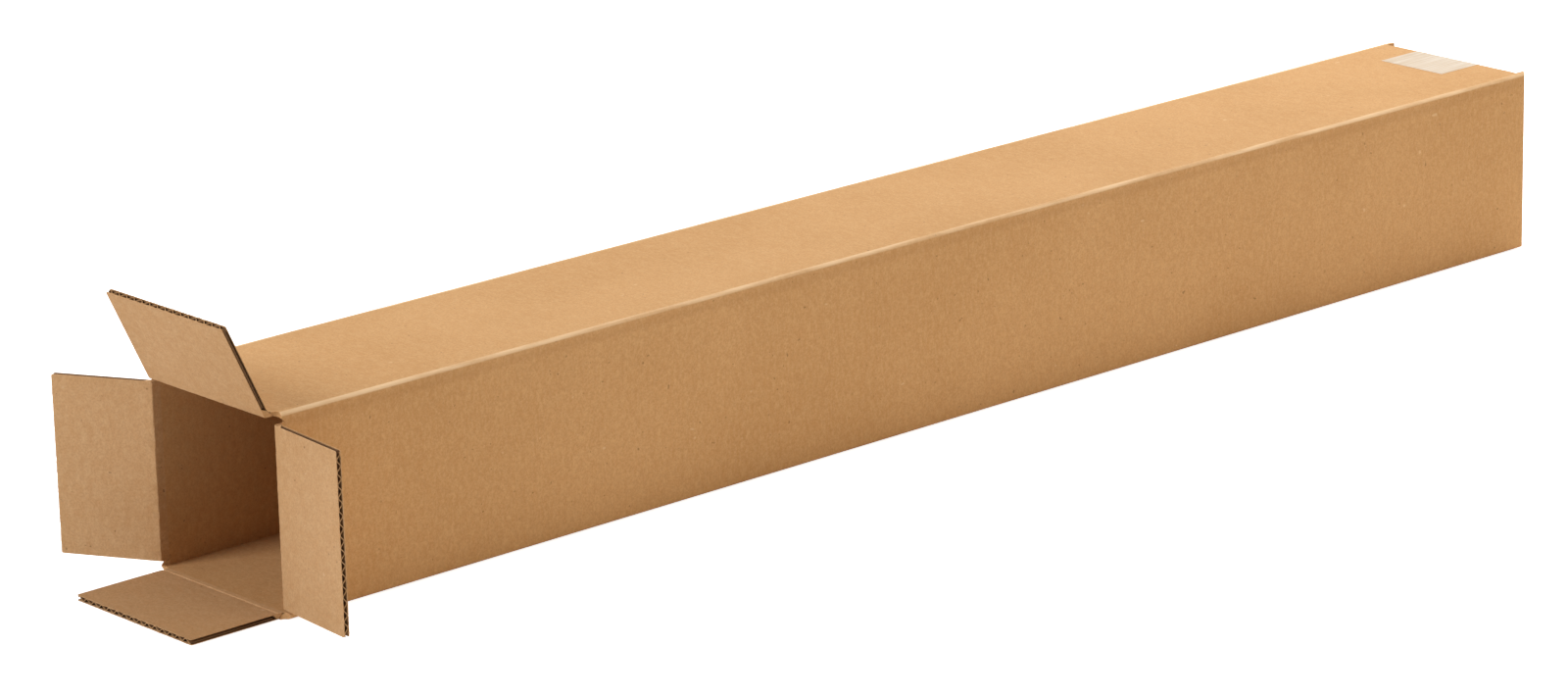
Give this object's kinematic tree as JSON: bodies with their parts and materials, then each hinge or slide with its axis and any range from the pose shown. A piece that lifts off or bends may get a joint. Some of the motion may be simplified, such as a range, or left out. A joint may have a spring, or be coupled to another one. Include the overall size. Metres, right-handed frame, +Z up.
{
  "type": "long corrugated shipping box",
  "caption": "Long square corrugated shipping box with one end taped shut and four hinged flaps standing open at the other end.",
  "frame": {"origin": "the middle of the bottom panel's underside, halfway along the tube between the near and the far end's outer creases", "axes": "+X along the box from the open end to the taped end, +Y towards the hidden side panel, +Z up"},
  "size_m": [0.9804, 0.207, 0.1562],
  "materials": {
    "kraft_board": "matte",
    "clear_tape": "gloss"
  },
  "bodies": {
    "body": {"box_body": "kraft_board", "tape": "clear_tape"},
    "top_flap": {"flap_top": "kraft_board"},
    "bottom_flap": {"flap_bottom": "kraft_board"},
    "left_flap": {"flap_left": "kraft_board"},
    "right_flap": {"flap_right": "kraft_board"}
  },
  "joints": [
    {"name": "top_crease", "type": "hinge", "parent": "body", "child": "top_flap", "pos_m": [-0.4635, 0, 0.10775], "axis": [0, 1, 0], "range_deg": [-155, 110]},
    {"name": "bottom_crease", "type": "hinge", "parent": "body", "child": "bottom_flap", "pos_m": [-0.4635, 0, -0.00015], "axis": [0, -1, 0], "range_deg": [-90, 175]},
    {"name": "left_crease", "type": "hinge", "parent": "body", "child": "left_flap", "pos_m": [-0.4602, 0.05395, 0.0538], "axis": [0, 0, -1], "range_deg": [-150, 115]},
    {"name": "right_crease", "type": "hinge", "parent": "body", "child": "right_flap", "pos_m": [-0.4602, -0.05395, 0.0538], "axis": [0, 0, 1], "range_deg": [-175, 90]}
  ]
}
